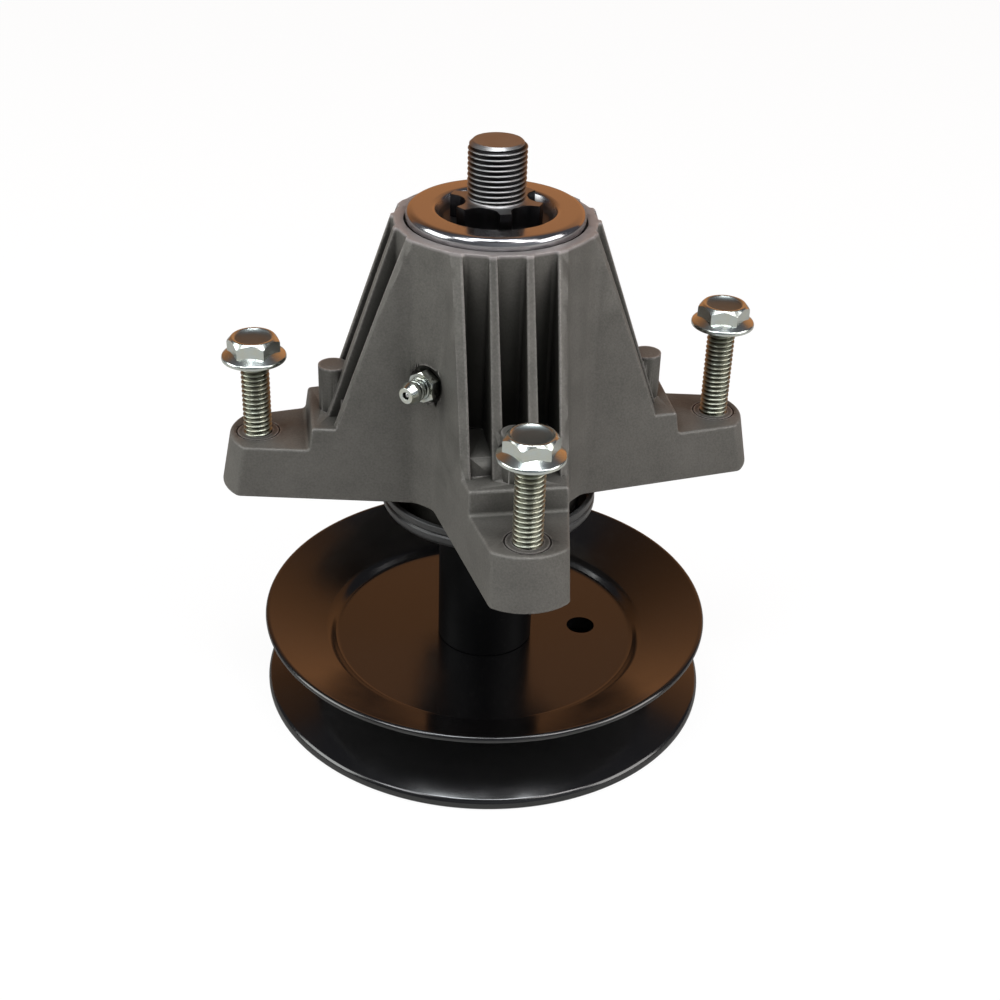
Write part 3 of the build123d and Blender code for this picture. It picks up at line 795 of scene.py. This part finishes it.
class SPINDLE_OT_cap(bpy.types.Operator):
    """Press the bright dust cap round the star"""

    bl_idname = "spindle.cap"
    bl_label = "Dust Cap"

    def execute(self, context):
        sizes = context.scene.spindle_sizes
        bottom, top = low("blade_side_dust_cap"), high("blade_side_dust_cap")
        outer_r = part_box("blade_side_dust_cap")[1].x
        floor = bottom + sizes.cap_sheet
        floor_r, mouth_r, bend = 14.2 * MM, 16.75 * MM, 0.8 * MM
        shoulder_bend, skirt = 2.1 * MM, 3.4 * MM
        corners = [
            (SEAT_R, floor),
            (floor_r, floor, bend),
            (mouth_r, top, bend),
            (outer_r, top, shoulder_bend),
            (outer_r, top - skirt),
        ]
        cap = pressed("dust_cap", corners, sizes.cap_sheet, 0.2 * MM)
        smooth(cap)
        material = polished_cap(context.scene.spindle_colours)
        dress(cap, ["blade_side_dust_cap"], "rotor", material)
        return {"FINISHED"}


class SPINDLE_OT_shaft(bpy.types.Operator):
    """Turn the shaft, its star and its threaded stud"""

    bl_idname = "spindle.shaft"
    bl_label = "Spindle Shaft"

    def execute(self, context):
        sizes = context.scene.spindle_sizes
        tail, tip = low("spindle_shaft"), high("spindle_shaft")
        bowl_deep, star_thick = 5.2 * MM, 6.3 * MM
        star_low = high("blade_side_dust_cap") - bowl_deep + sizes.cap_sheet
        star_high = star_low + star_thick
        journal_r = 9.98 * MM
        shoulder = low("pulley_upper_half") + sizes.pulley_sheet + MM
        edge, collar, inside = MM, 0.6 * MM, 0.2 * MM
        stud_r, core_r = sizes.stud_r, sizes.stud_r - 0.7 * sizes.thread_pitch
        core_top = tip - 2 * MM
        corners = [
            (0, tail),
            (stud_r - edge, tail),
            (stud_r, tail + edge),
            (stud_r, shoulder),
            (journal_r - edge, shoulder),
            (journal_r, shoulder + edge),
            (journal_r, star_low),
            (stud_r, star_low),
            (stud_r, star_high - inside),
            (stud_r + collar, star_high - inside),
            (stud_r + collar, star_high),
            (stud_r + 0.2 * MM, star_high + 0.35 * collar, 0.2 * MM),
            (stud_r - 0.1 * MM, star_high + collar),
            (core_r, star_high + collar),
            (core_r, core_top),
            (0, core_top),
        ]
        shaft = turned("shaft_with_star", corners)
        star = self.star(sizes, star_low, star_high)
        thread_low, tip_cone = star_high + 0.3 * MM, 1.3 * MM
        thread = threaded_rod(
            "stud_thread", stud_r, sizes.thread_pitch, thread_low, tip, 0, tip_cone, 96
        )
        # The star's sides get the painted shade of the thread roots, and all that is turned is bright
        side_top = star_high - 0.05 * MM
        for part in (shaft, star):
            values = part.data.attributes.new("crest", "FLOAT", "POINT").data
            for index, vertex in enumerate(part.data.vertices):
                values[index].value = 0.0 if part == star and vertex.co.z < side_top else 0.8
        join(shaft, star, thread)
        smooth(shaft)
        material = turned_steel(context.scene.spindle_colours)
        dress(shaft, ["spindle_shaft"], "rotor", material)
        return {"FINISHED"}

    def star(self, sizes, bottom, top):
        """Six-pointed prism with hollow flanks and eased edges."""
        points, first_angle, flank_steps = 6, radians(33), 6
        tip_r, root_r = sizes.star_tip_r, sizes.star_root_r
        half_tip = 1.7 * MM / tip_r
        half_step = pi / points
        corner = half_step - half_tip
        hollow_out = (tip_r**2 - root_r**2) / (2 * (tip_r * cos(corner) - root_r))
        hollow_r = hollow_out - root_r
        outline = []
        for point in range(points):
            middle = first_angle + 2 * half_step * point
            outline += [(tip_r, middle + half_tip * side) for side in (-1, -0.5, 0, 0.5, 1)]
            for step in range(1, 2 * flank_steps):
                off = corner * (step / flank_steps - 1)
                reach = hollow_out * cos(off) - sqrt(hollow_r**2 - (hollow_out * sin(off)) ** 2)
                outline.append((reach, middle + half_step + off))
        start()
        bpy.ops.mesh.primitive_circle_add(vertices=len(outline), radius=1, fill_type="NGON")
        star = bpy.context.object
        star.name = star.data.name = "star"
        for vertex, (radius, angle) in zip(star.data.vertices, outline):
            vertex.co = (radius * cos(angle), radius * sin(angle), bottom)
        bpy.ops.object.mode_set(mode="EDIT")
        bpy.ops.mesh.select_all(action="SELECT")
        bpy.ops.mesh.extrude_region_move(TRANSFORM_OT_translate={"value": (0, 0, top - bottom)})
        bpy.ops.object.mode_set(mode="OBJECT")
        tidy_mesh(star)
        ease_edges(star, 0.25 * MM)
        tidy_mesh(star)
        return star


class SPINDLE_OT_bolts(bpy.types.Operator):
    """Model one deck bolt and set a copy in each leg"""

    bl_idname = "spindle.bolts"
    bl_label = "Deck Bolts"

    def execute(self, context):
        sizes = context.scene.spindle_sizes
        colours = context.scene.spindle_colours
        head = join(self.hexagon(), self.flange())
        head.data.materials.append(bright_zinc(colours))
        self.mark_dish(head)
        shank_length, sunk, tip_cone = 31.75 * MM, 0.3 * MM, 1.2 * MM
        shank = threaded_rod(
            "bolt_shank", sizes.bolt_r, sizes.thread_pitch, -shank_length, sunk, tip_cone, 0, 48
        )
        shank.data.materials.append(threaded_zinc(colours))
        join(head, shank)
        smooth(head)
        circle_r = 66.1 * MM
        for number, (angle, stand, hexagon_turn) in enumerate(BOLTS):
            activate(head)
            bpy.ops.object.duplicate()
            bolt = context.object
            bolt.name = bolt.data.name = f"deck_bolt_{number + 1}"
            leg = Vector((cos(radians(angle)), sin(radians(angle)), 0))
            stand_place = leg * circle_r + Vector((0, 0, bolt_pad() + stand * MM))
            turn = Matrix.Rotation(radians(hexagon_turn), 4, "Z")
            place(bolt, Matrix.Translation(stand_place) @ turn)
            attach(bolt, "housing")
        bpy.data.objects.remove(head)
        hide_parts("mounting_bolts")
        return {"FINISHED"}

    def hexagon(self):
        """Hexagon of a bolt's head, with a chamfered top and a dish in it."""
        corner_r = 6.35 * MM / cos(radians(30))
        hexagon = prism("bolt_head", corner_r, 0.6 * MM, BOLT_HEAD)
        cone = turned(
            "head_cone",
            [
                (0, 0),
                (corner_r, 0),
                (corner_r, 5.0 * MM, 0.3 * MM),
                (5.95 * MM, BOLT_HEAD, 0.2 * MM),
                (5.4 * MM, BOLT_HEAD, 0.15 * MM),
                (4.8 * MM, 6.12 * MM),
                (4.1 * MM, 5.78 * MM),
                (3.1 * MM, 5.6 * MM),
                (0, 5.55 * MM),
            ],
            96,
        )
        combine(hexagon, cone, "INTERSECT")
        ease_edges(hexagon, 0.2 * MM)
        return hexagon

    def flange(self):
        """Flange of a bolt's head, with a sloping top."""
        flange_r, top = 8.9 * MM, 2.9 * MM
        return turned(
            "bolt_flange",
            [
                (0, 0),
                (flange_r, 0, 0.3 * MM),
                (flange_r, 1.1 * MM, 0.45 * MM),
                (6.6 * MM, 2.5 * MM, 0.6 * MM),
                (6.0 * MM, top),
                (0, top),
            ],
            96,
        )

    def mark_dish(self, head):
        """Mark the dish in a bolt's head, which is duller than the rest."""
        dish_r, dish_low, dish_high = 4.9 * MM, 5.2 * MM, 6.4 * MM
        dish = head.data.attributes.new("dish", "FLOAT", "POINT").data
        for index, vertex in enumerate(head.data.vertices):
            x, y, z = vertex.co
            dish[index].value = 1.0 if hypot(x, y) < dish_r and dish_low < z < dish_high else 0.0


class SPINDLE_OT_fitting(bpy.types.Operator):
    """Turn the grease fitting and set it in its corner"""

    bl_idname = "spindle.fitting"
    bl_label = "Grease Fitting"

    def execute(self, context):
        seat, end = 28.4 * MM, 38.2 * MM
        head_z = end - 2.9 * MM
        bore_r, mouth_r, mouth_deep = 1.45 * MM, 1.05 * MM, 0.7 * MM
        thread_r, relief_r, collar_r, neck_r, head_r = (
            radius * MM for radius in (3.15, 2.55, 2.9, 2.1, 3.2)
        )
        crisp, soft = 0.1 * MM, 0.12 * MM
        tail = seat - 7 * MM
        body = turned(
            "grease_nipple",
            [
                (bore_r, tail),
                (thread_r, tail, 0.3 * MM),
                (thread_r, seat + 4.0 * MM, soft),
                (relief_r, seat + 4.2 * MM),
                (relief_r, seat + 4.6 * MM),
                (collar_r, seat + 4.8 * MM, crisp),
                (collar_r, head_z - 1.0 * MM, crisp),
                (neck_r, head_z - 0.6 * MM, crisp),
                (neck_r, head_z - 0.3 * MM, crisp),
                (head_r, head_z, soft),
                (head_r, head_z + 1.0 * MM, soft),
                (2.2 * MM, end, 0.08 * MM),
                (mouth_r, end, crisp),
                (mouth_r, end - mouth_deep),
                (bore_r, end - mouth_deep),
            ],
            64,
        )
        corner_r = 3.95 * MM / cos(radians(30))
        inner_r, hexagon_top = 3.0 * MM, seat + 3.6 * MM
        hexagon = prism("fitting_hexagon", corner_r, seat, hexagon_top, turn=radians(30))
        cone = turned(
            "fitting_cone",
            [
                (inner_r, seat),
                (corner_r - 0.35 * MM, seat),
                (corner_r, seat + 0.3 * MM),
                (corner_r, hexagon_top - 0.4 * MM),
                (corner_r - 0.5 * MM, hexagon_top),
                (inner_r, hexagon_top),
            ],
            64,
        )
        combine(hexagon, cone, "INTERSECT")
        join(body, hexagon)
        axis_z = (low("grease_fitting") + high("grease_fitting")) / 2
        turn = Matrix.Rotation(radians(225), 4, "Z") @ Matrix.Rotation(radians(90), 4, "Y")
        place(body, Matrix.Translation((0, 0, axis_z)) @ turn)
        smooth(body)
        # The last number is the share of painted shade in the fitting's recesses
        material = bright_zinc(context.scene.spindle_colours, "fitting_zinc", 0.5, 0.16, 0.9)
        dress(body, ["grease_fitting"], "housing", material)
        return {"FINISHED"}


class SPINDLE_OT_nut(bpy.types.Operator):
    """Model the pulley nut and washer"""

    bl_idname = "spindle.nut"
    bl_label = "Pulley Nut"

    def execute(self, context):
        bottom, top = low("pulley_nut"), high("pulley_nut")
        corner_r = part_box("pulley_nut")[1].x
        face_r, cone_r = corner_r * cos(radians(30)) - 0.2 * MM, corner_r + 0.1 * MM
        chamfer = (cone_r - face_r) * tan(radians(30))
        bore_r, countersink = 7.98 * MM, 0.5 * MM
        nut = prism("pulley_nut_turned", corner_r, bottom - MM, top + MM)
        cone = turned(
            "nut_cone",
            [
                (bore_r, bottom + countersink),
                (bore_r + countersink, bottom),
                (face_r, bottom),
                (cone_r, bottom + chamfer),
                (cone_r, top - chamfer),
                (face_r, top),
                (bore_r, top),
            ],
            96,
        )
        combine(nut, cone, "INTERSECT")
        washer_low, washer_high = low("pulley_washer"), high("pulley_washer")
        washer_r, hole_r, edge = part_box("pulley_washer")[1].x, 8.3 * MM, 0.2 * MM
        washer = turned(
            "pulley_washer_stamped",
            [
                (hole_r, washer_low),
                (washer_r, washer_low, edge),
                (washer_r, washer_high, edge),
                (hole_r, washer_high),
            ],
        )
        material = bright_zinc(context.scene.spindle_colours, "nut_zinc", 0.15, 0.24)
        for piece, node in ((nut, "pulley_nut"), (washer, "pulley_washer")):
            smooth(piece)
            dress(piece, [node], "rotor", material)
        return {"FINISHED"}


class SPINDLE_OT_bearings(bpy.types.Operator):
    """Finish the bearings, the spacer, the check ball and its spring"""

    bl_idname = "spindle.bearings"
    bl_label = "Bearings"

    def execute(self, context):
        ground, drawn = plain_steel("ground_steel", 0.6, 0.14), plain_steel("drawn_steel", 0.42, 0.3)
        sheet, rubber = plain_steel("cage_steel", 0.5, 0.25), moulded_rubber()
        finishes = {
            "outer_ring": ground,
            "inner_ring": ground,
            "balls": ground,
            "cage": sheet,
            "seals": rubber,
            "spacer_tube": drawn,
            "check_ball": ground,
            "check_spring": drawn,
        }
        for node, piece in frame["nodes"].items():
            for ending, material in finishes.items():
                if node.endswith(ending):
                    piece.data.materials.clear()
                    piece.data.materials.append(material)
        return {"FINISHED"}


class SPINDLE_OT_stage(bpy.types.Operator):
    """Set the floor, the surroundings, the lamps and the camera"""

    bl_idname = "spindle.stage"
    bl_label = "Stage"

    def execute(self, context):
        settings = context.scene.spindle_stage
        start()
        self.floor(settings)
        self.walls(settings)
        self.lamps(context.scene)
        self.surroundings(context.scene)
        self.camera(context.scene, settings)
        context.scene.view_settings.view_transform = "Standard"
        return {"FINISHED"}

    def floor(self, settings):
        """A pale floor that the camera sees as white away from the object."""
        bpy.ops.mesh.primitive_plane_add(size=6, location=(0, 0, 0))
        floor = bpy.context.object
        floor.name = "floor"
        look = Look("floor_pale", Roughness=0.7, Specular_IOR_Level=0.1)
        path = look.node("LightPath", {})
        camera_ray = Value(look, path.socket.node.outputs["Is Camera Ray"])
        glossy_ray = Value(look, path.socket.node.outputs["Is Glossy Ray"])
        mirrored_tone, white, brightness = (0.46, 0.46, 0.44, 1), (1, 1, 1, 1), 1.16
        look.set(Base_Color=look.mix(glossy_ray, tuple(settings.floor), mirrored_tone))
        glow = look.node("Emission", {}, white, brightness)
        outside = look.spread(look.radius(), 60 * MM, 66 * MM)
        shade = Value(look, look.surface.outputs[0])
        both = look.node("MixShader", {}, camera_ray * outside * 0.8, shade, glow)
        look.tree.links.new(both.socket, look.tree.nodes["Material Output"].inputs["Surface"])
        floor.data.materials.append(look.material)

    def walls(self, settings):
        """Glowing walls beyond the object and behind the camera, dimmer towards the left."""
        black = (0, 0, 0, 1)
        for name, middle, distance, width, bottom, top, low_shade, high_shade in (
            ("warm_wall", 0.5, 1.5, 4.4, 0.05, 3.2, settings.wall_low, settings.wall_high),
            ("cool_wall", 0, -1.6, 6, 0.05, 1.5, settings.cool_wall, settings.cool_wall),
        ):
            bpy.ops.mesh.primitive_plane_add(
                size=1,
                location=(middle, distance, (bottom + top) / 2),
                rotation=(radians(90), 0, 0),
            )
            wall = bpy.context.object
            wall.name = name
            wall.scale = (width, top - bottom, 1)
            bpy.ops.object.transform_apply(location=True, rotation=True, scale=True)
            look = Look(
                name, Roughness=1.0, Specular_IOR_Level=0.0, Emission_Strength=1.0, Base_Color=black
            )
            height = look.node("SeparateXYZ", {}, look.place(), output="Z")
            shade = look.mix(look.spread(height, 0.1, 2.4), tuple(low_shade), tuple(high_shade))
            side = look.node("SeparateXYZ", {}, look.place(), output="X")
            brightness = look.spread(side, -1.0, 0.1, 0.5, 1.0)
            look.set(Emission_Color=look.mix(brightness, black, shade))
            wall.data.materials.append(look.material)
            wall.visible_camera = False
            wall.visible_shadow = False

    def lamps(self, scene):
        """Soft lamps round the camera, all at one distance. Sides are counted from the camera."""
        camera_side, distance = -8.9, 1.35
        for name, side, elevation, width, depth, energy, tint in (
            ("left_top_lamp", -33, 74, 0.34, 0.37, 3.9, (0.93, 0.97, 1.0)),
            ("right_top_lamp", 33, 74, 0.34, 0.37, 3.9, (0.95, 0.97, 1.0)),
            ("left_front_lamp", -46, 50, 0.45, 0.4, 3.2, (0.97, 0.98, 1.0)),
            ("right_front_lamp", 46, 50, 0.45, 0.4, 3.2, (1.0, 0.97, 0.96)),
            ("left_side_lamp", -80, 26, 0.8, 0.7, 6.9, (0.98, 1.0, 0.98)),
            ("right_side_lamp", 74, 26, 0.8, 0.7, 6.6, (1.0, 0.97, 0.95)),
        ):
            lamp = bpy.data.objects.new(name, bpy.data.lights.new(name, "AREA"))
            lamp.data.shape, lamp.data.size, lamp.data.size_y = "RECTANGLE", width, depth
            lamp.data.energy, lamp.data.color = energy, tint
            turn, tilt = radians(side + camera_side), radians(elevation)
            direction = Vector((sin(turn) * cos(tilt), -cos(turn) * cos(tilt), sin(tilt)))
            lamp.location = direction * distance
            lamp.rotation_euler = (radians(90) - tilt, 0, turn)
            scene.collection.objects.link(lamp)

    def surroundings(self, scene):
        """White to the camera, dark in reflections and grey for the rest."""
        world = bpy.data.worlds.new("surroundings")
        world.use_nodes = True
        tree = world.node_tree
        path = tree.nodes.new("ShaderNodeLightPath")
        socket = tree.nodes["Background"].inputs["Color"]
        for ray, shade in (
            ("Is Camera Ray", (1, 1, 1, 1)),
            ("Is Glossy Ray", (0.08, 0.08, 0.09, 1)),
        ):
            mixer = tree.nodes.new("ShaderNodeMix")
            mixer.data_type = "RGBA"
            mixer.inputs[7].default_value = shade
            tree.links.new(path.outputs[ray], mixer.inputs[0])
            tree.links.new(mixer.outputs[2], socket)
            socket = mixer.inputs[6]
        socket.default_value = (0.15, 0.15, 0.17, 1)
        scene.world = world

    def camera(self, scene, settings):
        """The photograph's camera."""
        camera = bpy.data.objects.new("camera", bpy.data.cameras.new("camera"))
        camera.data.lens, camera.data.sensor_width = settings.lens, 36.0
        camera.location, camera.rotation_euler = settings.camera_place, settings.camera_turn
        camera.data.clip_start = 0.01
        scene.collection.objects.link(camera)
        scene.camera = camera


OPERATORS = (
    SPINDLE_OT_housing,
    SPINDLE_OT_pulley,
    SPINDLE_OT_hub,
    SPINDLE_OT_shield,
    SPINDLE_OT_cap,
    SPINDLE_OT_shaft,
    SPINDLE_OT_bolts,
    SPINDLE_OT_fitting,
    SPINDLE_OT_nut,
    SPINDLE_OT_bearings,
    SPINDLE_OT_stage,
)


class VIEW3D_PT_spindle(bpy.types.Panel):
    """Lists the pieces of the spindle"""

    bl_label = "Deck Spindle"
    bl_idname = "VIEW3D_PT_spindle"
    bl_space_type = "VIEW_3D"
    bl_region_type = "UI"
    bl_category = "Spindle"

    def draw(self, context):
        column = self.layout.column()
        for operator in OPERATORS:
            column.operator(operator.bl_idname)
        scene = context.scene
        for group in (scene.spindle_sizes, scene.spindle_colours, scene.spindle_stage):
            for name in group.__annotations__:
                column.prop(group, name)


CLASSES = (SpindleSizes, SpindleColours, StageSettings, *OPERATORS, VIEW3D_PT_spindle)


def register():
    for item in CLASSES:
        bpy.utils.register_class(item)
    bpy.types.Scene.spindle_sizes = bpy.props.PointerProperty(type=SpindleSizes)
    bpy.types.Scene.spindle_colours = bpy.props.PointerProperty(type=SpindleColours)
    bpy.types.Scene.spindle_stage = bpy.props.PointerProperty(type=StageSettings)


def unregister():
    del bpy.types.Scene.spindle_sizes
    del bpy.types.Scene.spindle_colours
    del bpy.types.Scene.spindle_stage
    for item in reversed(CLASSES):
        bpy.utils.unregister_class(item)


def main():
    register()
    for operator in OPERATORS:
        group, name = operator.bl_idname.split(".")
        getattr(getattr(bpy.ops, group), name)()


if __name__ == "__main__":
    main()
